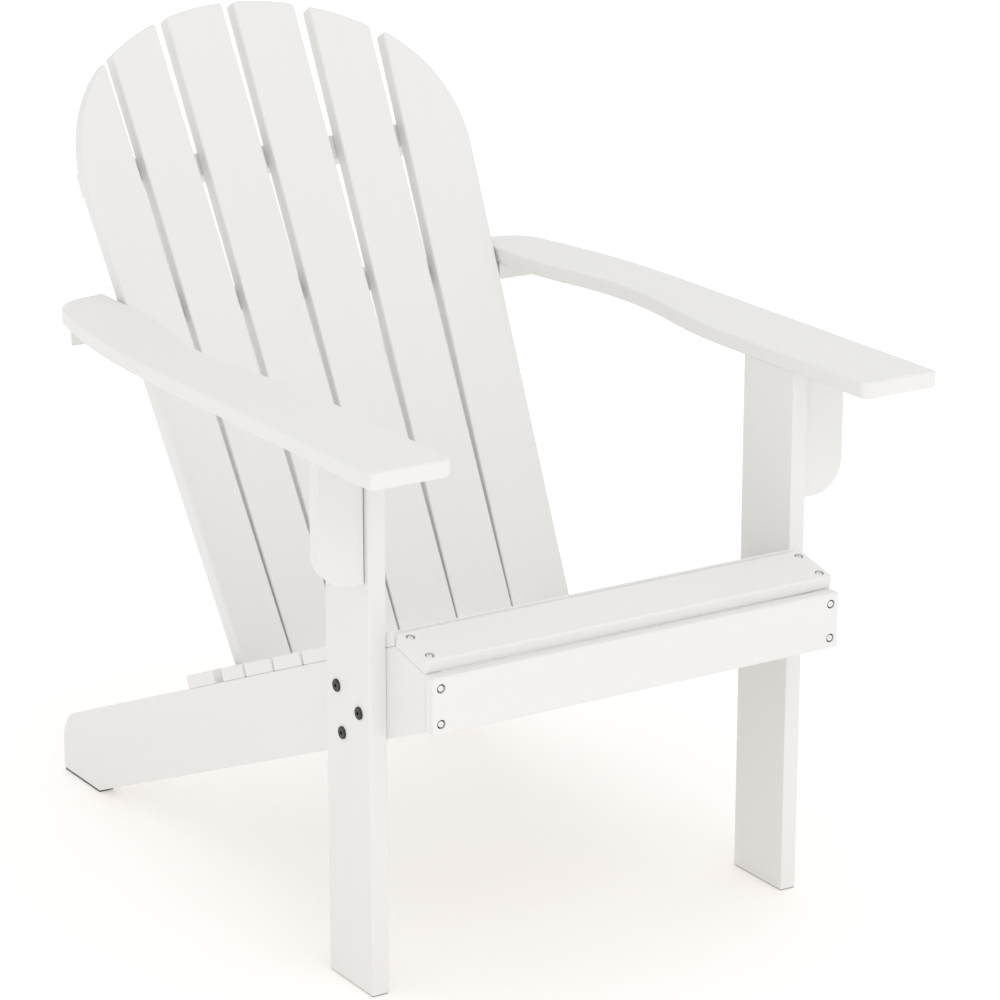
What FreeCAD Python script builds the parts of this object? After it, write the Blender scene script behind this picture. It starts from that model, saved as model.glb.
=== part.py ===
import FreeCAD, Part
import math
import os
import Sketcher

# Fixed adirondack armchair: boards bolted and screwed together, all sizes in millimetres.
# Frame: +X is the sitter's left, +Y the rear, +Z up, the floor is z = 0.  Lengths "from the
# leg face" are measured rearward from the front face of the two upright front legs.

SIZES = [
    ("leg_face_y", -329.4, "front face of the legs, from the origin"),
    ("edge_round", 2.5, "roundover on the edges of legs, arms and back boards"),
    ("seat_round", 1.8, "roundover on the edges of seat boards and apron"),
    ("joint_round", 1.2, "roundover on the brackets and the inner edges of the legs"),
    ("glide_height", 1.3, "thin glides under the legs"),
    ("sole_height", 2.4, "glides under the rear soles of the side rails"),
    ("glide_inset", 1.2, "glide edge inside the edge of the wood"),
    ("leg_thickness", 20.0, "front leg, across the chair"),
    ("leg_depth", 88.0, "front leg, front to rear"),
    ("seat_half", 250.0, "half the length of the seat boards, inner face of the legs"),
    ("arm_under", 590.0, "underside of the arms above the floor"),
    ("stringer_thickness", 20.0, "side rail under the seat"),
    ("nose_reach", 73.5, "front end of the side rail ahead of the leg face"),
    ("nose_top", 372.0, "top front corner of the side rail above the floor"),
    ("nose_bottom", 311.0, "lower front corner of the side rail above the floor"),
    ("crest_reach", 16.0, "highest point of the side rail ahead of the leg face"),
    ("crest_top", 385.0, "highest point of the side rail above the floor"),
    ("seat_slope", 22.5, "fall of the seat toward the rear, degrees"),
    ("rear_reach", 750.0, "rear end of the side rail, from the leg face"),
    ("foot_front", 660.0, "front end of the rear floor contact, from the leg face"),
    ("rear_corner", 45.0, "radius at the rear top corner of the side rail"),
    ("slat_thickness", 15.0, "seat boards, front apron, lower back rail"),
    ("front_slat_width", 58.5, "front seat board"),
    ("seat_slat_width", 64.0, "seat boards two to six"),
    ("rear_slat_width", 52.0, "last seat board, ahead of the back"),
    ("seat_pitch", 68.1, "spacing of the seat boards along the slope"),
    ("seat_start", 1.0, "gap from the crest to the second seat board"),
    ("low_rail_start", 413.0, "lower back rail, from the crest along the slope"),
    ("low_rail_width", 67.0, "lower back rail"),
    ("low_notch_half", 218.5, "half width of the notch in the lower back rail"),
    ("arm_thickness", 18.0, "arm board"),
    ("arm_reach", 126.0, "front end of the arm ahead of the leg face"),
    ("arm_inner", 247.5, "inner edge of the arm at the front"),
    ("arm_outer", 341.0, "outer edge of the arm"),
    ("arm_rear", 625.4, "rear end of the arm at its inner edge, from the leg face"),
    ("arm_rear_outer", 611.0, "rear end of the arm at its outer edge, from the leg face"),
    ("arm_inner_rear", 243.0, "inner edge of the arm beside the back"),
    ("arm_waist", 267.0, "inner edge of the arm at its narrowest place"),
    ("arm_waist_y", 337.0, "narrowest place of the arm, from the leg face"),
    ("arm_waist_front", 135.0, "start of the waist, from the leg face"),
    ("arm_waist_rear", 540.0, "end of the waist, from the leg face"),
    ("arm_sweep_y", 340.0, "start of the outer sweep, from the leg face"),
    ("arm_sweep_radius", 1042.0, "radius of the outer sweep"),
    ("arm_front_corner", 11.0, "radius at the inner front corner of the arm"),
    ("arm_outer_corner", 5.0, "radius at the outer front corner of the arm"),
    ("arm_rear_corner", 46.0, "radius at the outer rear corner of the arm"),
    ("arm_tip_corner", 3.5, "radius at the inner rear corner of the arm"),
    ("bracket_gap", 0.8, "gap between the bracket and the leg"),
    ("bracket_setback", 7.0, "bracket behind the leg face"),
    ("bracket_thickness", 18.0, "bracket board, front to rear"),
    ("bracket_width", 52.6, "bracket, outward from the leg"),
    ("bracket_height", 143.5, "bracket, down from the arm"),
    ("bracket_corner", 38.0, "radius at the lower outer corner of the bracket"),
    ("recline", 30.0, "back boards leaned from upright, degrees"),
    ("back_thickness", 20.0, "back boards, square to the middle of the back"),
    ("back_foot_y", 377.1, "lower end of the back on the centre line, from the leg face"),
    ("back_foot_z", 212.0, "lower end of the back on the centre line, above the floor"),
    ("back_radius", 970.0, "hollow of the back, measured square to the boards"),
    ("back_step", 4.8, "turn from one back board to the next, degrees"),
    ("inner_near", 0.7, "inner back board, near edge at its lower end"),
    ("inner_far", 74.1, "inner back board, far edge at its lower end"),
    ("middle_near", 75.2, "middle back board, near edge at its lower end"),
    ("middle_far", 143.2, "middle back board, far edge at its lower end"),
    ("outer_near", 144.3, "outer back board, near edge at its lower end"),
    ("inner_near_lean", 0.50, "sideways lean of that edge, degrees"),
    ("inner_far_lean", 0.69, "sideways lean of that edge, degrees"),
    ("middle_near_lean", 1.94, "sideways lean of that edge, degrees"),
    ("middle_far_lean", 1.99, "sideways lean of that edge, degrees"),
    ("outer_near_lean", 3.03, "sideways lean of that edge, degrees"),
    ("outer_far_lean", 3.68, "sideways lean of that edge, degrees"),
    ("arch_top", 782.4, "crown of the back above its lower end, along the boards"),
    ("arch_radius", 303.0, "radius of the crown"),
    ("arch_shoulder", 185.0, "radius of the shoulders"),
    ("arch_half", 248.8, "half width of the back at the shoulders"),
    ("shoulder_height", 578.5, "centre of the shoulder radius along the boards"),
    ("mid_rail_thickness", 20.0, "middle back rail under the arms"),
    ("mid_rail_front", 565.0, "front edge of the middle back rail, from the leg face"),
    ("mid_rail_rear", 636.0, "rear edge of the middle back rail, from the leg face"),
    ("mid_rail_half", 312.0, "half length of the middle back rail at the front"),
    ("mid_notch_half", 243.5, "half width of the notch in the middle back rail"),
    ("top_rail_start", 585.0, "underside of the upper back rail along the boards"),
    ("top_rail_height", 28.0, "upper back rail along the boards"),
    ("top_rail_half", 222.0, "half length of the upper back rail"),
    ("top_rail_rear", 46.0, "rear edge of the upper back rail behind the back face"),
    ("bolt_shank", 8.0, "bolt shank diameter"),
    ("bolt_hole", 8.4, "bolt hole diameter"),
    ("bolt_head", 13.5, "bolt head diameter"),
    ("bolt_head_height", 2.2, "bolt head height"),
    ("bolt_socket", 4.0, "hexagon socket across flats"),
    ("washer_diameter", 17.0, "washer under each nut"),
    ("washer_height", 1.5, "washer under each nut"),
    ("nut_flats", 13.0, "nut across flats"),
    ("nut_height", 6.5, "nut height"),
    ("screw_shank", 4.5, "wood screw shank diameter"),
    ("screw_flange", 9.2, "wood screw flange diameter"),
    ("screw_flange_height", 0.8, "wood screw flange height"),
    ("screw_head", 6.4, "raised middle of the wood screw head, diameter"),
    ("screw_head_height", 2.6, "wood screw head height, flange included"),
    ("screw_sink", 3.6, "depth of the screw recess in a board"),
    ("screw_recess", 9.8, "diameter of the screw recess"),
    ("screw_grip", 20.0, "screw length beyond the board it holds"),
    ("nose_grip", 9.5, "screw length beyond the front seat board"),
    ("back_grip", 11.0, "screw length inside a back board"),
    ("screw_line", 240.0, "seat and apron screws from the centre plane"),
    ("dowel_diameter", 8.0, "hidden dowel"),
    ("dowel_short", 12.0, "dowel length in the thinner piece"),
    ("dowel_long", 24.0, "dowel length in the other piece"),
]

# Bolts through leg and side rail: distance behind the leg face and height of each.
BOLTS = [(65.4, 322.2), (21.1, 305.8), (54.9, 274.1)]
SLAT_SCREWS = (14.0, 50.0)
REAR_SLAT_SCREWS = (12.0, 40.0)
LOW_RAIL_SCREWS = (16.0, 51.0)
FRONT_SLAT_SCREWS = (10.3, 47.6)
APRON_SCREWS = (322.5, 360.1)
BACK_SCREW_HALF = 14.0

doc = FreeCAD.newDocument("AdirondackChair")
sheet = doc.addObject("Spreadsheet::Sheet", "Dims")
VALUES = {}
for row, (alias, value, note) in enumerate(SIZES, start=1):
    sheet.set("A%d" % row, note)
    sheet.set("B%d" % row, str(value))
    sheet.setAlias("B%d" % row, alias)
    VALUES[alias] = value
doc.recompute()


class Dim:
    """A number together with the spreadsheet expression it comes from."""

    def __init__(self, value, text):
        self.value = value
        self.text = text

    def __add__(self, other):
        other = dim(other)
        return Dim(self.value + other.value, "(%s + %s)" % (self.text, other.text))

    def __sub__(self, other):
        other = dim(other)
        return Dim(self.value - other.value, "(%s - %s)" % (self.text, other.text))

    def __mul__(self, other):
        other = dim(other)
        return Dim(self.value * other.value, "(%s * %s)" % (self.text, other.text))

    def __truediv__(self, other):
        other = dim(other)
        return Dim(self.value / other.value, "(%s / %s)" % (self.text, other.text))

    def __neg__(self):
        return Dim(-self.value, "(0 - %s)" % self.text)

    def __radd__(self, other):
        return dim(other) + self

    def __rsub__(self, other):
        return dim(other) - self

    def __rmul__(self, other):
        return dim(other) * self


def dim(number):
    """Wrap a plain number so it can be mixed with sheet sizes."""
    if isinstance(number, Dim):
        return number
    return Dim(float(number), "%.6f" % number)


def size(alias):
    return Dim(VALUES[alias], "Dims.%s" % alias)


def sine(angle):
    return Dim(math.sin(math.radians(angle.value)), "sin(%s)" % angle.text)


def cosine(angle):
    return Dim(math.cos(math.radians(angle.value)), "cos(%s)" % angle.text)


def tangent(angle):
    return Dim(math.tan(math.radians(angle.value)), "tan(%s)" % angle.text)


def arctangent(ratio):
    """Angle in degrees whose tangent is the ratio."""
    return Dim(math.degrees(math.atan(ratio.value)), "(atan(%s) / 1 deg)" % ratio.text)


def root(number):
    return Dim(math.sqrt(number.value), "sqrt(%s)" % number.text)


def square(number):
    return number * number


X_AXIS = FreeCAD.Vector(1, 0, 0)
Y_AXIS = FreeCAD.Vector(0, 1, 0)
Z_AXIS = FreeCAD.Vector(0, 0, 1)
ZERO = dim(0)


def turn(axis, degrees):
    return FreeCAD.Rotation(axis, degrees)


def bind_base(obj, prefix, where):
    """Tie the three coordinates of a placement to the sheet."""
    for letter, coordinate in zip("xyz", where):
        if coordinate.text != ZERO.text:
            obj.setExpression("%s.Base.%s" % (prefix, letter), coordinate.text)


def place(obj, where, rotation=None):
    where = [dim(c) for c in where]
    base = FreeCAD.Vector(*[c.value for c in where])
    obj.Placement = FreeCAD.Placement(base, rotation or FreeCAD.Rotation())
    bind_base(obj, ".Placement", where)


def new_body(label, where=(0, 0, 0), rotation=None):
    body = doc.addObject("PartDesign::Body", "Body_" + label)
    body.Label = label + "_body"
    place(body, where, rotation)
    return body


def new_sketch(body, plane="XY_Plane", shift=(0, 0, 0), rotation=None):
    """Sketch on one of the body's own planes, optionally shifted and tilted from it."""
    sketch = body.newObject("Sketcher::SketchObject", "Sketch")
    support = [o for o in body.Origin.OriginFeatures if o.Role == plane][0]
    sketch.AttachmentSupport = [(support, "")]
    sketch.MapMode = "FlatFace"
    shift = [dim(c) for c in shift]
    base = FreeCAD.Vector(*[c.value for c in shift])
    sketch.AttachmentOffset = FreeCAD.Placement(base, rotation or FreeCAD.Rotation())
    bind_base(sketch, ".AttachmentOffset", shift)
    return sketch


def constrain(sketch, kind, *target, size_of):
    index = sketch.addConstraint(Sketcher.Constraint(kind, *target, size_of.value))
    sketch.setExpression("Constraints[%d]" % index, size_of.text)


def pin(sketch, geometry, point, x, y):
    """Hold one point of a sketch element at x, y from the sketch origin."""
    constrain(sketch, "DistanceX", -1, 1, geometry, point, size_of=dim(x))
    constrain(sketch, "DistanceY", -1, 1, geometry, point, size_of=dim(y))


def arc_angle(centre, point):
    return math.atan2(point[1].value - centre[1].value, point[0].value - centre[0].value)


def add_path(sketch, start, steps):
    """Closed outline from start through steps; the outline must close with a line.

    A line step is (x, y); an arc step is (x, y, centre_x, centre_y, anticlockwise).
    """
    previous = (dim(start[0]), dim(start[1]))
    first = None
    last = None
    for number, step in enumerate(steps):
        step = [dim(c) if not isinstance(c, bool) else c for c in step]
        end = (step[0], step[1])
        a = FreeCAD.Vector(previous[0].value, previous[1].value, 0)
        b = FreeCAD.Vector(end[0].value, end[1].value, 0)
        closing = number == len(steps) - 1
        if len(step) == 2:
            geometry = sketch.addGeometry(Part.LineSegment(a, b), False)
            head, tail = 1, 2
            if not closing:
                pin(sketch, geometry, 2, *end)
        else:
            centre = (step[2], step[3])
            c = FreeCAD.Vector(centre[0].value, centre[1].value, 0)
            circle = Part.Circle(c, Z_AXIS, (a - c).Length)
            angles = [arc_angle(centre, previous), arc_angle(centre, end)]
            head, tail = (1, 2) if step[4] else (2, 1)
            if not step[4]:
                angles.reverse()
            arc = Part.ArcOfCircle(circle, angles[0], angles[1])
            geometry = sketch.addGeometry(arc, False)
            pin(sketch, geometry, 3, *centre)
            constrain(sketch, "DistanceY", -1, 1, geometry, tail, size_of=end[1])
        if last is None:
            first = (geometry, head)
            pin(sketch, geometry, head, *previous)
        else:
            sketch.addConstraint(Sketcher.Constraint("Coincident", last[0], last[1], geometry, head))
        last = (geometry, tail)
        previous = end
    sketch.addConstraint(Sketcher.Constraint("Coincident", last[0], last[1], first[0], first[1]))


def add_rectangle(sketch, x0, y0, x1, y1):
    add_path(sketch, (x0, y0), [(x1, y0), (x1, y1), (x0, y1), (x0, y0)])


def add_circles(sketch, centres, diameter):
    for x, y in centres:
        circle = Part.Circle(FreeCAD.Vector(dim(x).value, dim(y).value, 0), Z_AXIS, diameter.value / 2)
        geometry = sketch.addGeometry(circle, False)
        pin(sketch, geometry, 3, x, y)
        constrain(sketch, "Diameter", geometry, size_of=diameter)


def add_hexagons(sketch, centres, flats):
    corner = flats / cosine(dim(30)) / 2
    for x, y in centres:
        corners = [(dim(x) + corner * cosine(dim(60 * k)), dim(y) + corner * sine(dim(60 * k)))
                   for k in range(6)]
        add_path(sketch, corners[0], corners[1:] + corners[:1])


def pad(body, sketch, length, symmetric=False, backward=False, direction=None):
    """Extrude square to the sketch, or along a direction given in the body's own frame."""
    feature = body.newObject("PartDesign::Pad", "Pad")
    feature.Profile = sketch
    feature.Length = length.value
    feature.setExpression("Length", length.text)
    if symmetric:
        feature.SideType = "Symmetric"
    if direction is not None:
        feature.UseCustomVector = True
        feature.Direction = direction
        feature.AlongSketchNormal = False
    feature.Reversed = backward
    return finish(body, feature)


def pocket(body, sketch, depth=None, backward=False, symmetric=False):
    """Cut below the sketch plane; a missing depth cuts through everything."""
    before = body.Tip.Shape.Volume
    feature = body.newObject("PartDesign::Pocket", "Pocket")
    feature.Profile = sketch
    if depth is None:
        feature.Type = "ThroughAll"
    else:
        feature.Length = depth.value
        feature.setExpression("Length", depth.text)
    if symmetric:
        feature.SideType = "Symmetric"
    feature.Reversed = backward
    finish(body, feature)
    if feature.Shape.Volume >= before - 0.01:
        raise RuntimeError("a cut in %s removed nothing" % body.Label)
    return feature


def finish(body, feature):
    body.Tip = feature
    doc.recompute()
    if feature.Shape.isNull() or not feature.Shape.isValid():
        raise RuntimeError("%s in %s has no sound shape" % (feature.Name, body.Label))
    return feature


def round_edges(body, radius, edges=None):
    """Round the named edges of the tip, or every edge."""
    base = body.Tip
    feature = body.newObject("PartDesign::Fillet", "Fillet")
    if edges is None:
        feature.Base = (base, ["Edge1"])
        feature.UseAllEdges = True
    else:
        feature.Base = (base, edges)
    feature.Radius = radius.value
    feature.setExpression("Radius", radius.text)
    return finish(body, feature)


def edges_along(shape, axis, spots=None):
    """Names of straight edges along an axis, optionally only those passing near a spot."""
    names = []
    for number, edge in enumerate(shape.Edges, start=1):
        if not isinstance(edge.Curve, Part.Line):
            continue
        if abs(edge.tangentAt(edge.FirstParameter).dot(axis)) < 0.999:
            continue
        middle = edge.CenterOfMass
        across = middle - axis * middle.dot(axis)
        if spots is None or any((across - spot).Length < 1.0 for spot in spots):
            names.append("Edge%d" % number)
    return names


def drill(body, centres, diameter, depth=None, plane="XY_Plane", shift=(0, 0, 0), backward=False,
          rotation=None):
    sketch = new_sketch(body, plane, shift, rotation)
    add_circles(sketch, centres, diameter)
    return pocket(body, sketch, depth, backward)


NODES = []


def as_node(label, obj):
    """Register a finished sub-part under the name its file carries."""
    obj.Label = label
    NODES.append(obj)
    return obj


def cut_by(label, base, tools):
    """Board with the exact holes of the fasteners that run into it."""
    group = tools[0]
    if len(tools) > 1:
        group = doc.addObject("Part::Compound", "Tools_" + label)
        group.Links = tools
    result = doc.addObject("Part::Cut", "Cut_" + label)
    result.Base = base
    result.Tool = group
    doc.recompute()
    if result.Shape.Volume >= base.Shape.Volume - 0.01:
        raise RuntimeError("the fasteners do not reach " + label)
    return as_node(label, result)


leg_face = size("leg_face_y")
seat_half = size("seat_half")
rounding = size("edge_round")
meeting = size("joint_round")
glide = size("glide_height")
sole = size("sole_height")
inset = size("glide_inset")
slope = size("seat_slope")
nose_rise = (size("crest_top") - size("nose_top")) / (size("nose_reach") - size("crest_reach"))
nose_slope = arctangent(nose_rise)
shank = size("screw_shank")
head = size("screw_head")
head_height = size("screw_head_height")
sink = size("screw_sink")
screw_line = size("screw_line")
thickness = size("slat_thickness")
back_thickness = size("back_thickness")
SLOPE_TURN = turn(X_AXIS, -slope.value)
NOSE_TURN = turn(X_AXIS, nose_slope.value)
crest_y = leg_face - size("crest_reach")
crest_z = size("crest_top")
SIDES = (("left", 1), ("right", -1))


def on_slope(distance):
    """Point of the side rail's top edge at a distance behind the crest, along the slope."""
    along = dim(distance)
    return crest_y + along * cosine(slope), crest_z - along * sine(slope)


# ---------------------------------------------------------------- fasteners
def screw_group(label, where, rotation, rows, recess=True):
    """Wood screws sharing one direction: rows are (centres, length under the head).

    The group's own +Z points out of the boards; z = 0 is the bearing face of the heads.
    """
    body = new_body(label, where, rotation)
    every = []
    for centres, length in rows:
        sketch = new_sketch(body)
        add_circles(sketch, centres, shank)
        pad(body, sketch, length, backward=True)
        every.extend(centres)
    for diameter, height in ((size("screw_flange"), size("screw_flange_height")), (head, head_height)):
        sketch = new_sketch(body)
        add_circles(sketch, every, diameter)
        pad(body, sketch, height)
    if recess:
        sketch = new_sketch(body, shift=(0, 0, head_height))
        add_hexagons(sketch, every, dim(2.5))
        pocket(body, sketch, dim(0.8))
    return as_node(label, body)


def paired(distances, offset=ZERO):
    """Screw centres on both screw lines of the seat."""
    return [(side * screw_line, offset + d) for side in (1, -1) for d in distances]


slat_starts = [size("seat_start") + k * size("seat_pitch") for k in range(6)]
seat_centres = []
for start in slat_starts[:5]:
    seat_centres += paired([start + d for d in SLAT_SCREWS])
seat_centres += paired([slat_starts[5] + d for d in REAR_SLAT_SCREWS])
bearing = thickness - sink


def above_slope(height):
    """Origin of a frame lying on the crest, raised square to the seat slope."""
    return (0, crest_y + height * sine(slope), crest_z + height * cosine(slope))


# On the tilted seat frames local Y runs forward-to-rear, so distances down the slope are positive.
seat_screws = screw_group("seat_slat_screws", above_slope(bearing), SLOPE_TURN,
                          [(seat_centres, bearing + size("screw_grip"))])
low_rail_screws = screw_group("back_rail_lower_end_screws", above_slope(bearing), SLOPE_TURN,
                              [(paired([size("low_rail_start") + d for d in LOW_RAIL_SCREWS]),
                                bearing + size("screw_grip"))])
nose_y = leg_face - size("nose_reach")
nose_origin = (0, nose_y - bearing * sine(nose_slope), size("nose_top") + bearing * cosine(nose_slope))
front_slat_screws = screw_group("front_slat_screws", nose_origin, NOSE_TURN,
                                [(paired(FRONT_SLAT_SCREWS), bearing + size("nose_grip"))])
apron_centres = [(side * screw_line, dim(z)) for side in (1, -1) for z in APRON_SCREWS]
FACING_FRONT = turn(X_AXIS, 90)
apron_screws = screw_group("apron_screws", (0, nose_y - bearing, 0), FACING_FRONT,
                           [(apron_centres, bearing + size("screw_grip"))])

back_step = size("back_step")
back_radius = size("back_radius")
TURNS = {"inner": back_step * 0.5, "middle": back_step * 1.5, "outer": back_step * 2.5}


def back_screw_rows(run):
    """Two screws per back board, each row as long as that board is far from the rail's rear."""
    rows = []
    for name in ("inner", "middle", "outer"):
        x = back_radius * sine(TURNS[name])
        centres = [(side * (x + offset), 0)
                   for side in (1, -1) for offset in (BACK_SCREW_HALF, -BACK_SCREW_HALF)]
        rows.append((centres, run(name)))
    return rows


def hollow(name):
    """How far forward of the centre line a back board stands, square to the boards."""
    return back_radius * (1 - cosine(TURNS[name]))


recline = size("recline")
back_y = leg_face + size("back_foot_y")
back_z = size("back_foot_z")


def on_back(along, behind):
    """World point on the centre plane: distance up the boards and behind their front face."""
    along = dim(along)
    behind = dim(behind)
    return (0, back_y + along * sine(recline) + behind * cosine(recline),
            back_z + along * cosine(recline) - behind * sine(recline))


top_rear = size("top_rail_rear")
top_middle = size("top_rail_start") + size("top_rail_height") / 2
upper_screws = screw_group(
    "back_rail_upper_screws", on_back(top_middle, top_rear), turn(X_AXIS, -90 - recline.value),
    back_screw_rows(lambda name: top_rear + hollow(name) - back_thickness + size("back_grip")))

mid_rear = leg_face + size("mid_rail_rear")
mid_z = size("arm_under") - size("mid_rail_thickness") / 2
mid_back = back_y + (mid_z - back_z) * tangent(recline) + back_thickness / cosine(recline)
middle_screws = screw_group(
    "back_rail_middle_screws", (0, mid_rear, mid_z), turn(X_AXIS, -90),
    back_screw_rows(lambda name: mid_rear - mid_back + hollow(name) / cosine(recline)
                    + size("back_grip")))

low_rear = size("low_rail_start") + size("low_rail_width")
low_y, low_z = on_slope(low_rear)
low_origin = (0, low_y + thickness / 2 * sine(slope), low_z + thickness / 2 * cosine(slope))
lean = recline - slope
low_back = ((back_z - low_origin[2]) * sine(recline) + (low_origin[1] - back_y) * cosine(recline)
            - back_thickness) / cosine(lean)
lower_screws = screw_group(
    "back_rail_lower_screws", low_origin, turn(X_AXIS, -90 - slope.value),
    back_screw_rows(lambda name: low_back + hollow(name) / cosine(lean) + size("back_grip")))
BACK_SCREWS = [upper_screws, middle_screws, lower_screws]

leg_outer = seat_half + size("leg_thickness")
joint = size("leg_thickness") + size("stringer_thickness")
arm_under = size("arm_under")
mid_under = arm_under - size("mid_rail_thickness")
ARM_RAIL_SCREWS = [(262.0, 590.0), (284.0, 577.0)]
bolt_centres = [(leg_face + y, dim(z)) for y, z in BOLTS]
arm_screws = {}
dowels = {}
for side_name, side in SIDES:
    # Bolts: heads on the leg's outer face, washer and nut on the side rail's inner face.
    outward = side > 0
    bolts = new_body("leg_bolts_" + side_name)
    sketch = new_sketch(bolts, "YZ_Plane", (0, 0, side * leg_outer))
    add_circles(sketch, bolt_centres, size("bolt_shank"))
    pad(bolts, sketch, joint + size("washer_height") + size("nut_height") + 2, backward=outward)
    sketch = new_sketch(bolts, "YZ_Plane", (0, 0, side * leg_outer))
    add_circles(sketch, bolt_centres, size("bolt_head"))
    head_pad = pad(bolts, sketch, size("bolt_head_height"), backward=not outward)
    face_x = side * (leg_outer.value + VALUES["bolt_head_height"])
    rims = ["Edge%d" % n for n, e in enumerate(head_pad.Shape.Edges, start=1)
            if isinstance(e.Curve, Part.Circle) and abs(e.CenterOfMass.x - face_x) < 0.01]
    round_edges(bolts, dim(0.9), rims)
    sketch = new_sketch(bolts, "YZ_Plane", (0, 0, side * (leg_outer + size("bolt_head_height"))))
    add_hexagons(sketch, bolt_centres, size("bolt_socket"))
    pocket(bolts, sketch, dim(1.8), backward=not outward)
    as_node("leg_bolts_" + side_name, bolts)

    inner_face = side * (seat_half - size("stringer_thickness"))
    washers = new_body("leg_bolt_washers_" + side_name)
    sketch = new_sketch(washers, "YZ_Plane", (0, 0, inner_face))
    add_circles(sketch, bolt_centres, size("washer_diameter"))
    add_circles(sketch, bolt_centres, size("bolt_hole"))
    pad(washers, sketch, size("washer_height"), backward=outward)
    as_node("leg_bolt_washers_" + side_name, washers)

    nuts = new_body("leg_bolt_nuts_" + side_name)
    nut_face = inner_face - side * size("washer_height")
    sketch = new_sketch(nuts, "YZ_Plane", (0, 0, nut_face))
    add_hexagons(sketch, bolt_centres, size("nut_flats"))
    add_circles(sketch, bolt_centres, size("bolt_shank"))
    pad(nuts, sketch, size("nut_height"), backward=outward)
    as_node("leg_bolt_nuts_" + side_name, nuts)

    # Screws driven up through the middle back rail into the arm.
    centres = [(side * x, -(leg_face + y)) for x, y in ARM_RAIL_SCREWS]
    arm_screws[side_name] = screw_group(
        "arm_rear_screws_" + side_name, (0, 0, mid_under), turn(X_AXIS, 180),
        [(centres, size("mid_rail_thickness") + size("dowel_short"))])

    # Hidden dowels: leg to arm, bracket to arm, bracket to leg.
    radius_line = leg_outer - size("leg_thickness") / 2
    bracket_middle = leg_face + size("bracket_setback") + size("bracket_thickness") / 2
    upright = [(side * radius_line, leg_face + y) for y in (22.0, 66.0)]
    arm_dowels = new_body("arm_dowels_" + side_name)
    sketch = new_sketch(arm_dowels, shift=(0, 0, arm_under - size("dowel_long")))
    add_circles(sketch, upright, size("dowel_diameter"))
    pad(arm_dowels, sketch, size("dowel_long") + size("dowel_short"))
    as_node("arm_dowels_" + side_name, arm_dowels)
    bracket_dowels = new_body("bracket_dowels_" + side_name)
    sketch = new_sketch(bracket_dowels, shift=(0, 0, arm_under - size("dowel_long")))
    add_circles(sketch, [(side * (leg_outer + 30), bracket_middle)], size("dowel_diameter"))
    pad(bracket_dowels, sketch, size("dowel_long") + size("dowel_short"))
    level = [(bracket_middle, arm_under - drop) for drop in (52.0, 112.0)]
    sketch = new_sketch(bracket_dowels, "YZ_Plane", (0, 0, side * (leg_outer - size("dowel_short"))))
    add_circles(sketch, level, size("dowel_diameter"))
    pad(bracket_dowels, sketch, size("dowel_long") + size("dowel_short"), backward=not outward)
    as_node("bracket_dowels_" + side_name, bracket_dowels)
    dowels[side_name] = [arm_dowels, bracket_dowels]

# ---------------------------------------------------------------- front legs and side rails
for side_name, side in SIDES:
    label = "front_leg_" + side_name
    leg = new_body(label)
    leg_rear = leg_face + size("leg_depth")
    sketch = new_sketch(leg, shift=(0, 0, glide))
    add_rectangle(sketch, side * seat_half, leg_face, side * leg_outer, leg_rear)
    pad(leg, sketch, arm_under - glide)
    for x, radius in ((leg_outer, rounding), (seat_half, meeting)):
        spots = [FreeCAD.Vector(side * x.value, y.value, 0) for y in (leg_face, leg_rear)]
        round_edges(leg, radius, edges_along(leg.Tip.Shape, Z_AXIS, spots))
    drill(leg, bolt_centres, size("bolt_hole"), plane="YZ_Plane", shift=(0, 0, side * leg_outer),
          backward=side < 0)
    cut_by(label, leg, dowels[side_name])

    label = "seat_rail_" + side_name
    rail = new_body(label)
    sketch = new_sketch(rail, "YZ_Plane", (0, 0, side * (seat_half - size("stringer_thickness") / 2)))
    rear_y = leg_face + size("rear_reach")
    rear_z = crest_z - (size("rear_reach") + size("crest_reach")) * tangent(slope)
    foot_y = leg_face + size("foot_front")
    add_path(sketch, (nose_y, size("nose_bottom")),
             [(nose_y, size("nose_top")), (crest_y, crest_z), (rear_y, rear_z), (rear_y, sole),
              (foot_y, sole), (nose_y, size("nose_bottom"))])
    pad(rail, sketch, size("stringer_thickness"), symmetric=True)
    corner = FreeCAD.Vector(0, rear_y.value, rear_z.value)
    round_edges(rail, size("rear_corner"), edges_along(rail.Tip.Shape, X_AXIS, [corner]))
    round_edges(rail, dim(1.5))
    drill(rail, bolt_centres, size("bolt_hole"), plane="YZ_Plane", shift=(0, 0, side * seat_half),
          backward=side < 0)
    cut_by(label, rail, [seat_screws, low_rail_screws, front_slat_screws, apron_screws])

    # Thin glides the chair stands on, a little smaller than the wood above them.
    rail_inner = seat_half - size("stringer_thickness")
    soles = [("leg_glide_", glide, seat_half, leg_outer, leg_face, leg_rear),
             ("rail_glide_", sole, rail_inner, seat_half, foot_y, rear_y)]
    for prefix, height, near_x, far_x, near_y, far_y in soles:
        glides = new_body(prefix + side_name)
        sketch = new_sketch(glides)
        add_rectangle(sketch, side * (near_x + inset), near_y + inset,
                      side * (far_x - inset), far_y - inset)
        pad(glides, sketch, height)
        as_node(prefix + side_name, glides)


# ---------------------------------------------------------------- seat boards and apron
def seat_board(label, where, rotation, width, screws):
    board = new_body(label, where, rotation)
    sketch = new_sketch(board)
    add_rectangle(sketch, -seat_half, 0, seat_half, width)
    pad(board, sketch, thickness)
    round_edges(board, size("seat_round"))
    centres = paired(screws)
    drill(board, centres, size("screw_recess"), sink, shift=(0, 0, thickness))
    drill(board, centres, shank, shift=(0, 0, thickness))
    return board


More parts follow.
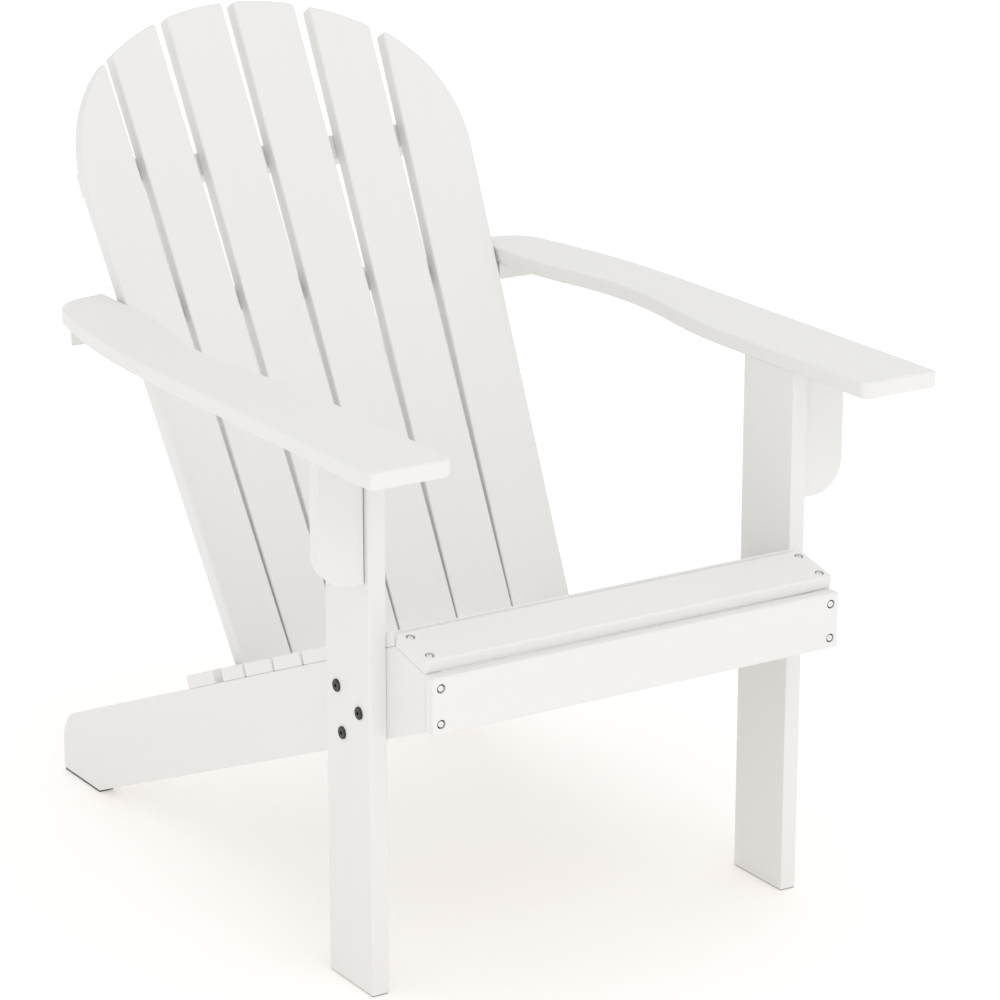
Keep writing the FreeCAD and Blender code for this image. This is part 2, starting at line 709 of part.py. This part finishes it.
nose = (0, nose_y, size("nose_top"))
as_node("seat_slat_1", seat_board("seat_slat_1", nose, NOSE_TURN, size("front_slat_width"),
                                  FRONT_SLAT_SCREWS))
for number, start in enumerate(slat_starts, start=2):
    last = number == 7
    width = size("rear_slat_width") if last else size("seat_slat_width")
    label = "seat_slat_%d" % number
    board = seat_board(label, (0,) + on_slope(start), SLOPE_TURN, width,
                       REAR_SLAT_SCREWS if last else SLAT_SCREWS)
    as_node(label, board)

apron = new_body("front_apron")
sketch = new_sketch(apron, "XZ_Plane", (0, 0, -nose_y))
add_rectangle(sketch, -seat_half, size("nose_bottom"), seat_half, size("nose_top"))
pad(apron, sketch, thickness)
round_edges(apron, size("seat_round"))
front_plane = (0, 0, thickness - nose_y)
drill(apron, apron_centres, size("screw_recess"), sink, "XZ_Plane", front_plane)
drill(apron, apron_centres, shank, None, "XZ_Plane", front_plane)
as_node("front_apron", apron)


# ---------------------------------------------------------------- arms and brackets
def arm_outline(side):
    """Plan of the arm: straight paddle in front, waist inside, long sweep outside."""
    inner, rear_inner, waist = size("arm_inner"), size("arm_inner_rear"), size("arm_waist")
    front, rear = leg_face - size("arm_reach"), leg_face + size("arm_rear")
    rear_outer = leg_face + size("arm_rear_outer")
    waist_y = leg_face + size("arm_waist_y")
    entry_y, exit_y = leg_face + size("arm_waist_front"), leg_face + size("arm_waist_rear")

    def bend_radius(run, shift):
        return (square(run) + square(shift)) / (4 * shift)

    entry = bend_radius(waist_y - entry_y, waist - inner)
    leave = bend_radius(exit_y - waist_y, waist - rear_inner)
    outer, sweep = size("arm_outer"), size("arm_sweep_radius")
    sweep_y = leg_face + size("arm_sweep_y")
    end_x = outer - sweep + root(square(sweep) - square(rear_outer - sweep_y))
    entry_mid = ((inner + waist) / 2, (entry_y + waist_y) / 2)
    leave_mid = ((rear_inner + waist) / 2, (exit_y + waist_y) / 2)
    steps = [
        (outer, front), (outer, sweep_y),
        (end_x, rear_outer, outer - sweep, sweep_y, True),
        (rear_inner, rear), (rear_inner, exit_y),
        leave_mid + (rear_inner + leave, exit_y, True),
        (waist, waist_y, waist - leave, waist_y, False),
        entry_mid + (waist - entry, waist_y, False),
        (inner, entry_y, inner + entry, entry_y, True),
        (inner, front),
    ]
    mirrored = []
    for step in steps:
        step = list(step)
        step[0] = side * step[0]
        if len(step) == 5:
            step[2] = side * step[2]
            step[4] = step[4] if side > 0 else not step[4]
        mirrored.append(tuple(step))
    corners = {"arm_front_corner": (inner, front), "arm_outer_corner": (outer, front),
               "arm_rear_corner": (end_x, rear_outer), "arm_tip_corner": (rear_inner, rear)}
    return (side * inner, front), mirrored, corners


for side_name, side in SIDES:
    label = "arm_" + side_name
    arm = new_body(label)
    start, steps, corners = arm_outline(side)
    sketch = new_sketch(arm, shift=(0, 0, arm_under))
    add_path(sketch, start, steps)
    pad(arm, sketch, size("arm_thickness"))
    for alias, (x, y) in corners.items():
        spots = [FreeCAD.Vector(side * x.value, y.value, 0)]
        round_edges(arm, size(alias), edges_along(arm.Tip.Shape, Z_AXIS, spots))
    round_edges(arm, rounding)
    cut_by(label, arm, dowels[side_name] + [arm_screws[side_name]])

    label = "arm_bracket_" + side_name
    bracket = new_body(label)
    bracket_y = leg_face + size("bracket_setback") + size("bracket_thickness") / 2
    sketch = new_sketch(bracket, "XZ_Plane", (0, 0, -bracket_y))
    outer_x = side * (leg_outer + size("bracket_width"))
    lower_z = arm_under - size("bracket_height")
    add_rectangle(sketch, side * (leg_outer + size("bracket_gap")), lower_z, outer_x, arm_under)
    pad(bracket, sketch, size("bracket_thickness"), symmetric=True)
    corner = FreeCAD.Vector(outer_x.value, 0, lower_z.value)
    round_edges(bracket, size("bracket_corner"), edges_along(bracket.Tip.Shape, Y_AXIS, [corner]))
    round_edges(bracket, meeting)
    cut_by(label, bracket, [dowels[side_name][1]])


# ---------------------------------------------------------------- back boards
def back_frame(side, name):
    """Where a back board's frame sits (X across, Y up, Z forward) and how its face is turned."""
    angle = TURNS[name]
    across = back_radius * sine(angle) * side
    forward = hollow(name)
    where = (across, back_y - forward * cosine(recline), back_z + forward * sine(recline))
    return where, turn(X_AXIS, 90 - recline.value), turn(Y_AXIS, -side * angle.value)


def back_outline(side, name):
    angle = TURNS[name]
    centre = back_radius * sine(angle)
    square_on = cosine(angle)

    def across(x):
        return (x - centre) / square_on

    near, near_lean = across(size(name + "_near")), size(name + "_near_lean")
    if name == "outer":
        radius = size("arch_shoulder")
        arc_t, arc_s = across(size("arch_half")) - radius, size("shoulder_height")
        far_lean = size("outer_far_lean")
        far_top = (arc_t + radius * cosine(far_lean), arc_s - radius * sine(far_lean))
        far = far_top[0] - far_top[1] * tangent(far_lean)
    else:
        radius = size("arch_radius")
        arc_t, arc_s = across(ZERO), size("arch_top") - radius
        far, far_lean = across(size(name + "_far")), size(name + "_far_lean")
        far_top = meet_arc(far, far_lean, arc_t, arc_s, radius)
    near_top = meet_arc(near, near_lean, arc_t, arc_s, radius)
    return ((side * near, ZERO),
            [(side * far, ZERO), (side * far_top[0], far_top[1]),
             (side * near_top[0], near_top[1], side * arc_t, arc_s, side > 0),
             (side * near, ZERO)])


def meet_arc(start, edge_lean, arc_t, arc_s, radius):
    """Upper end of a leaning straight edge where it meets the crown."""
    rise = tangent(edge_lean)
    # start + rise * s on the circle: (1 + rise^2) s^2 + 2 (rise * gap - arc_s) s + rest = 0
    gap = start - arc_t
    a = 1 + square(rise)
    half_b = rise * gap - arc_s
    rest = square(gap) + square(arc_s) - square(radius)
    s = (root(square(half_b) - a * rest) - half_b) / a
    return (start + rise * s, s)


ORDER = [(-1, "outer"), (-1, "middle"), (-1, "inner"), (1, "inner"), (1, "middle"), (1, "outer")]
for number, (side, name) in enumerate(ORDER, start=1):
    label = "back_slat_%d" % number
    where, rotation, facing = back_frame(side, name)
    board = new_body(label, where, rotation)
    start, steps = back_outline(side, name)
    sketch = new_sketch(board, rotation=facing)
    add_path(sketch, start, steps)
    pad(board, sketch, back_thickness, direction=-Z_AXIS)
    round_edges(board, rounding)
    cut_by(label, board, BACK_SCREWS)


# ---------------------------------------------------------------- back rails
def cut_hollow(body, shift, rotation, half, reach, bounds=None):
    """Cut the faceted hollow that the back boards' rear faces bear on.

    The cutting sketch lies square to the boards: X across the chair, Y forward.  Facets meet
    where the planes of neighbouring boards cross, or step from one to the next at the bounds.
    """
    rear_line = back_radius - back_thickness

    def behind(x, name):
        angle = TURNS[name]
        return rear_line - back_radius / cosine(angle) + x * tangent(angle)

    if bounds is None:
        facet = back_radius / cosine(back_step / 2)
        points = [(facet * sine(back_step * step), rear_line - facet * cosine(back_step * step))
                  for step in (1, 2)]
    else:
        inner_bound, outer_bound = bounds
        points = [(inner_bound, behind(inner_bound, "inner")),
                  (inner_bound, behind(inner_bound, "middle")),
                  (outer_bound, behind(outer_bound, "middle")),
                  (outer_bound, behind(outer_bound, "outer"))]
    points.append((half, behind(half, "outer")))
    path = ([(x, y) for x, y in reversed(points)] + [(ZERO, behind(ZERO, "inner"))]
            + [(-x, y) for x, y in points] + [(-half, reach), (half, reach)])
    sketch = new_sketch(body, "XY_Plane", shift, rotation)
    add_path(sketch, (half, reach), path)
    pocket(body, sketch, dim(400), symmetric=True)


# Upper rail: its own Z runs up the boards, its own Y forward.
BACK_TURN = turn(X_AXIS, -recline.value)
label = "back_rail_upper"
rail = new_body(label, on_back(size("top_rail_start"), 0), BACK_TURN)
half = size("top_rail_half")
front_edge = back_radius * (1 - cosine(TURNS["outer"])) + 2
sketch = new_sketch(rail)
add_rectangle(sketch, -half, -front_edge, half, top_rear)
pad(rail, sketch, size("top_rail_height"))
FACING = turn(X_AXIS, 180)
cut_hollow(rail, (0, 0, 0), FACING, half + 5, dim(60))
round_edges(rail, dim(2.0), edges_along(rail.Tip.Shape, X_AXIS)
            + edges_along(rail.Tip.Shape, Z_AXIS, [FreeCAD.Vector(s * half.value, top_rear.value, 0)
                                                   for s in (1, -1)]))
cut_by(label, rail, [upper_screws])

label = "back_rail_middle"
rail = new_body(label, (0, 0, mid_under))
half = size("mid_rail_half")
front = leg_face + size("mid_rail_front")
short = half - (mid_rear - front)
sketch = new_sketch(rail)
add_path(sketch, (-half, front), [(half, front), (short, mid_rear), (-short, mid_rear), (-half, front)])
pad(rail, sketch, size("mid_rail_thickness"))
along = (mid_under - back_z) / cosine(recline)
tilt = turn(X_AXIS, 180 - recline.value)
cut_hollow(rail, (0, back_y + along * sine(recline), 0), tilt, size("mid_notch_half"), dim(120))
round_edges(rail, dim(2.0), edges_along(rail.Tip.Shape, X_AXIS))
cut_by(label, rail, [middle_screws, arm_screws["left"], arm_screws["right"]])

label = "back_rail_lower"
rail = new_body(label, (0,) + on_slope(size("low_rail_start")), SLOPE_TURN)
sketch = new_sketch(rail)
add_rectangle(sketch, -seat_half, 0, seat_half, size("low_rail_width"))
pad(rail, sketch, thickness)
ends = paired(LOW_RAIL_SCREWS)
drill(rail, ends, size("screw_recess"), sink, shift=(0, 0, thickness))
drill(rail, ends, shank, shift=(0, 0, thickness))
# Foot of the back on the centre line, seen from the rail's own frame.
start_y, start_z = on_slope(size("low_rail_start"))
dy, dz = back_y - start_y, back_z - start_z
local_y = dy * cosine(slope) - dz * sine(slope)
local_z = dy * sine(slope) + dz * cosine(slope)
seams = (size("inner_far") + 1.0, size("middle_far") + 1.5)
cut_hollow(rail, (0, local_y, local_z), turn(X_AXIS, 180 - lean.value), size("low_notch_half"), dim(90),
           seams)
rear_edges = [FreeCAD.Vector(0, VALUES["low_rail_width"], z) for z in (0, thickness.value)]
round_edges(rail, dim(2.0), edges_along(rail.Tip.Shape, X_AXIS, rear_edges))
cut_by(label, rail, [lower_screws])

# ---------------------------------------------------------------- check and export
doc.recompute()
for obj in doc.Objects:
    if "Invalid" in obj.State or "Error" in obj.State:
        raise RuntimeError("%s is %s" % (obj.Label, obj.State))
os.makedirs("parts", exist_ok=True)
for obj in NODES:
    if obj.Shape.isNull() or not obj.Shape.isValid():
        raise RuntimeError(obj.Label + " has no sound shape")
    obj.Shape.exportStep("parts/%s.step" % obj.Label)
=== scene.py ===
import math

import bpy
from mathutils import Matrix, Vector

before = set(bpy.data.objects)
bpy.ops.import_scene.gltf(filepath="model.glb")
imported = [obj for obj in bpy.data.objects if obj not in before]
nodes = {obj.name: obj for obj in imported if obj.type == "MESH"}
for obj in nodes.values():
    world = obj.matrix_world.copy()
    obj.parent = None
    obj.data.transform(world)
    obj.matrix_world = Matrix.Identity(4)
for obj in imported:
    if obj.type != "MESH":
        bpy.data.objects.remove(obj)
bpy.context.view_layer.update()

# Directions the boards' grain runs in.
SLOPE = math.radians(22.5)
RECLINE = math.radians(30.0)
NOSE = math.radians(12.74)
ACROSS = Vector((1, 0, 0))
REARWARD = Vector((0, 1, 0))
UPWARD = Vector((0, 0, 1))
DOWN_SLOPE = Vector((0, math.cos(SLOPE), -math.sin(SLOPE)))
UP_BACK = Vector((0, math.sin(RECLINE), math.cos(RECLINE)))

# Sockets of the mix node that carry colours; its named sockets carry plain numbers.
MIX_COLOUR_A = 6
MIX_COLOUR_B = 7
MIX_COLOUR_RESULT = 2
BLOTCH_SCALE = 260.0
# A recessed screw turns from its own bright colour to near-black painted shade of the recess between
# these depths below the top of its head.
PAINTED_SHADE_STARTS_BELOW = 0.0009
PAINTED_SHADE_FULL_BELOW = 0.0016


def grain_axis(name):
    if name.startswith("back_slat"):
        return UP_BACK
    if name.startswith("seat_rail"):
        return DOWN_SLOPE
    if name.startswith("arm_bracket") or name.startswith("front_leg"):
        return UPWARD
    if name.startswith("arm_"):
        return REARWARD
    return ACROSS


def node_tree(material):
    material.use_nodes = True
    tree = material.node_tree
    tree.nodes.clear()
    shader = tree.nodes.new("ShaderNodeBsdfPrincipled")
    output = tree.nodes.new("ShaderNodeOutputMaterial")
    tree.links.new(shader.outputs["BSDF"], output.inputs["Surface"])
    return tree, shader


def link(tree, source, target):
    tree.links.new(source, target)


def grain_space(tree, axis, seed):
    """Object coordinates turned so that Z runs along the grain, shifted for each board."""
    mapping = tree.nodes.new("ShaderNodeMapping")
    turn = axis.rotation_difference(Vector((0, 0, 1))).to_euler()
    mapping.inputs["Rotation"].default_value = turn
    mapping.inputs["Location"].default_value = (0.37 * seed, 0.71 * seed, 0.13 * seed)
    link(tree, object_space(tree), mapping.inputs["Vector"])
    return mapping.outputs["Vector"]


def scaled(tree, vector, factors):
    node = tree.nodes.new("ShaderNodeMapping")
    node.inputs["Scale"].default_value = factors
    link(tree, vector, node.inputs["Vector"])
    return node.outputs["Vector"]


def noise(tree, vector, scale, detail=4.0, roughness=0.5, distortion=0.0):
    node = tree.nodes.new("ShaderNodeTexNoise")
    node.inputs["Scale"].default_value = scale
    node.inputs["Detail"].default_value = detail
    node.inputs["Roughness"].default_value = roughness
    node.inputs["Distortion"].default_value = distortion
    link(tree, vector, node.inputs["Vector"])
    return node.outputs["Fac"]


def ramp(tree, value, stops):
    node = tree.nodes.new("ShaderNodeValToRGB")
    link(tree, value, node.inputs["Fac"])
    elements = node.color_ramp.elements
    while len(elements) < len(stops):
        elements.new(0.5)
    for element, (position, colour) in zip(elements, stops):
        element.position = position
        element.color = (*colour, 1.0)
    return node.outputs["Color"]


def mapped(tree, value, low, high, to_low, to_high):
    node = tree.nodes.new("ShaderNodeMapRange")
    node.inputs["From Min"].default_value = low
    node.inputs["From Max"].default_value = high
    node.inputs["To Min"].default_value = to_low
    node.inputs["To Max"].default_value = to_high
    link(tree, value, node.inputs["Value"])
    return node.outputs["Result"]


def colour_mix(tree, factor, first, second):
    node = tree.nodes.new("ShaderNodeMix")
    node.data_type = "RGBA"
    link(tree, factor, node.inputs["Factor"])
    link(tree, first, node.inputs[MIX_COLOUR_A])
    link(tree, second, node.inputs[MIX_COLOUR_B])
    return node.outputs[MIX_COLOUR_RESULT]


def object_space(tree):
    return tree.nodes.new("ShaderNodeTexCoord").outputs["Object"]


def board_material(name, axis, seed):
    """White satin finish over a long, faint grain."""
    material = bpy.data.materials.new("board_white_" + name)
    tree, shader = node_tree(material)
    space = grain_space(tree, axis, seed)
    streaks = noise(tree, scaled(tree, space, (70.0, 70.0, 2.2)), 1.0, 5.0, 0.6, 0.4)
    pores = noise(tree, scaled(tree, space, (420.0, 420.0, 16.0)), 1.0, 3.0, 0.6)
    mix = tree.nodes.new("ShaderNodeMix")
    mix.data_type = "FLOAT"
    mix.inputs["Factor"].default_value = 0.35
    link(tree, streaks, mix.inputs["A"])
    link(tree, pores, mix.inputs["B"])
    grain = mix.outputs["Result"]
    colour = ramp(tree, grain, [(0.30, (0.818, 0.810, 0.794)), (0.52, (0.823, 0.815, 0.800)),
                                (0.75, (0.828, 0.821, 0.806))])
    link(tree, colour, shader.inputs["Base Color"])
    link(tree, mapped(tree, grain, 0.3, 0.7, 0.5, 0.38), shader.inputs["Roughness"])
    bump = tree.nodes.new("ShaderNodeBump")
    bump.inputs["Strength"].default_value = 0.12
    bump.inputs["Distance"].default_value = 0.0006
    link(tree, grain, bump.inputs["Height"])
    link(tree, bump.outputs["Normal"], shader.inputs["Normal"])
    shader.inputs["Specular IOR Level"].default_value = 0.35
    return material


def plain_material(name, dark, light, metallic, rough_low, rough_high):
    """Metal or nylon, slightly blotched between two tones."""
    material = bpy.data.materials.new(name)
    tree, shader = node_tree(material)
    blotches = noise(tree, object_space(tree), BLOTCH_SCALE, 4.0, 0.6)
    link(tree, ramp(tree, blotches, [(0.35, dark), (0.7, light)]), shader.inputs["Base Color"])
    link(tree, mapped(tree, blotches, 0.3, 0.7, rough_low, rough_high), shader.inputs["Roughness"])
    shader.inputs["Metallic"].default_value = metallic
    return material


def recessed_screw_material(obj, outward):
    """Bright tops on the screw heads, with the flanges and shanks down in their recesses painted
    near-black as painted shade of the recesses.
    """
    material = bpy.data.materials.new("screw_stainless_painted_recess_shade_" + obj.name)
    tree, shader = node_tree(material)
    top = max(vertex.co.dot(outward) for vertex in obj.data.vertices)
    space = object_space(tree)
    blotches = noise(tree, space, BLOTCH_SCALE, 4.0, 0.6)
    height = tree.nodes.new("ShaderNodeVectorMath")
    height.operation = "DOT_PRODUCT"
    height.inputs[1].default_value = outward
    link(tree, space, height.inputs[0])
    clear_of_painted_shade = mapped(tree, height.outputs["Value"], top - PAINTED_SHADE_FULL_BELOW, top - PAINTED_SHADE_STARTS_BELOW, 0.0, 1.0)
    # Near-black painted shade for the parts of the screw down in its recess.
    dark = ramp(tree, blotches, [(0.35, (0.010, 0.010, 0.010)), (0.7, (0.025, 0.025, 0.024))])
    bright = ramp(tree, blotches, [(0.35, (0.84, 0.84, 0.83)), (0.7, (0.92, 0.92, 0.91))])
    link(tree, colour_mix(tree, clear_of_painted_shade, dark, bright), shader.inputs["Base Color"])
    link(tree, mapped(tree, blotches, 0.3, 0.7, 0.34, 0.46), shader.inputs["Roughness"])
    shader.inputs["Metallic"].default_value = 0.9
    return material


def dowel_material():
    material = bpy.data.materials.new("dowel_beech")
    tree, shader = node_tree(material)
    fibres = noise(tree, scaled(tree, object_space(tree), (900.0, 900.0, 60.0)), 1.0, 4.0)
    link(tree, ramp(tree, fibres, [(0.3, (0.55, 0.38, 0.22)), (0.7, (0.68, 0.50, 0.31))]),
         shader.inputs["Base Color"])
    link(tree, mapped(tree, fibres, 0.3, 0.7, 0.55, 0.7), shader.inputs["Roughness"])
    return material


def dress(obj, material):
    obj.data.materials.clear()
    obj.data.materials.append(material)


black = plain_material("bolt_black_oxide", (0.036, 0.036, 0.038), (0.080, 0.080, 0.083), 0.8, 0.30, 0.42)
steel = plain_material("screw_stainless", (0.80, 0.80, 0.79), (0.90, 0.90, 0.89), 0.9, 0.30, 0.42)
# Near-black glides under the feet; their dark colour also paints in the thin contact shadow line where
# the feet meet the floor.
nylon = plain_material("glide_nylon_dark_as_contact_shade", (0.055, 0.053, 0.050), (0.085, 0.082, 0.078), 0.0, 0.55, 0.70)
beech = dowel_material()
OUT_OF_SEAT = Vector((0, math.sin(SLOPE), math.cos(SLOPE)))
RECESSED = {"seat_slat_screws": OUT_OF_SEAT, "back_rail_lower_end_screws": OUT_OF_SEAT,
            "front_slat_screws": Vector((0, -math.sin(NOSE), math.cos(NOSE))),
            "apron_screws": Vector((0, -1, 0))}
for seed, (name, obj) in enumerate(sorted(nodes.items())):
    if name in RECESSED:
        dress(obj, recessed_screw_material(obj, RECESSED[name]))
    elif name.startswith("leg_bolts"):
        dress(obj, black)
    elif "dowels" in name:
        dress(obj, beech)
    elif "glide" in name:
        dress(obj, nylon)
    elif "screws" in name or name.startswith("leg_bolt"):
        dress(obj, steel)
    else:
        dress(obj, board_material(name, grain_axis(name), seed + 1))

# Floor, light and camera.
FLOOR_HALF = 30.0
# The floor is painted a little darker and warmer under the chair than around it, a painted shadow of the
# chair: distances from its centre.
PAINTED_SHADOW_FULL_WITHIN = 0.42
PAINTED_SHADOW_ENDS_AT = 0.85
floor_mesh = bpy.data.meshes.new("floor")
floor_corners = [(x * FLOOR_HALF, y * FLOOR_HALF, 0) for x, y in ((-1, -1), (1, -1), (1, 1), (-1, 1))]
floor_mesh.from_pydata(floor_corners, [], [(0, 1, 2, 3)])
floor = bpy.data.objects.new("floor", floor_mesh)
bpy.context.scene.collection.objects.link(floor)
floor_material = bpy.data.materials.new("floor_white")
tree, shader = node_tree(floor_material)
space = object_space(tree)
clouds = noise(tree, space, 3.0)
distance = tree.nodes.new("ShaderNodeVectorMath")
distance.operation = "LENGTH"
link(tree, space, distance.inputs[0])
clear_of_chair_shadow = mapped(tree, distance.outputs["Value"], PAINTED_SHADOW_FULL_WITHIN, PAINTED_SHADOW_ENDS_AT, 0.0, 1.0)
# Painted shadow: a darker, warmer floor tone under the chair, fading out to the open floor tone.
painted_chair_shadow_tone = ramp(tree, clouds, [(0.3, (0.905, 0.879, 0.862)), (0.7, (0.919, 0.892, 0.875))])
open_floor_tone = ramp(tree, clouds, [(0.3, (0.955, 0.950, 0.945)), (0.7, (0.970, 0.965, 0.960))])
link(tree, colour_mix(tree, clear_of_chair_shadow, painted_chair_shadow_tone, open_floor_tone), shader.inputs["Base Color"])
shader.inputs["Roughness"].default_value = 1.0
shader.inputs["Specular IOR Level"].default_value = 0.0
shader.inputs["Emission Color"].default_value = (1.0, 0.985, 0.97, 1.0)
shader.inputs["Emission Strength"].default_value = 0.185
dress(floor, floor_material)

scene = bpy.context.scene
scene.view_settings.view_transform = "Standard"
world = bpy.data.worlds.new("studio")
scene.world = world
world.use_nodes = True
world.node_tree.nodes["Background"].inputs["Color"].default_value = (1.0, 1.0, 1.0, 1.0)
world.node_tree.nodes["Background"].inputs["Strength"].default_value = 0.91


def area_light(name, where, aim, extent, power):
    data = bpy.data.lights.new(name, "AREA")
    data.shape = "SQUARE"
    data.size = extent
    data.energy = power
    lamp = bpy.data.objects.new(name, data)
    lamp.location = where
    lamp.rotation_euler = (Vector(aim) - Vector(where)).to_track_quat("-Z", "Y").to_euler()
    scene.collection.objects.link(lamp)


area_light("key_front", where=(-0.4, -4.2, 4.2), aim=(0, 0, 0.5), extent=3.0, power=36.0)

CAMERA_AT = Vector((-2.1275, -3.4927, 1.6900))
LOOKS_AT = Vector((0.0, -0.1294, 0.4000))
camera_data = bpy.data.cameras.new("camera")
camera_data.sensor_width = 36.0
camera_data.lens = 140.24
camera_data.shift_x = 0.0094
camera_data.shift_y = 0.0341
camera = bpy.data.objects.new("camera", camera_data)
camera.matrix_world = (Matrix.Translation(CAMERA_AT)
                       @ (LOOKS_AT - CAMERA_AT).to_track_quat("-Z", "Y").to_matrix().to_4x4())
scene.collection.objects.link(camera)
scene.camera = camera
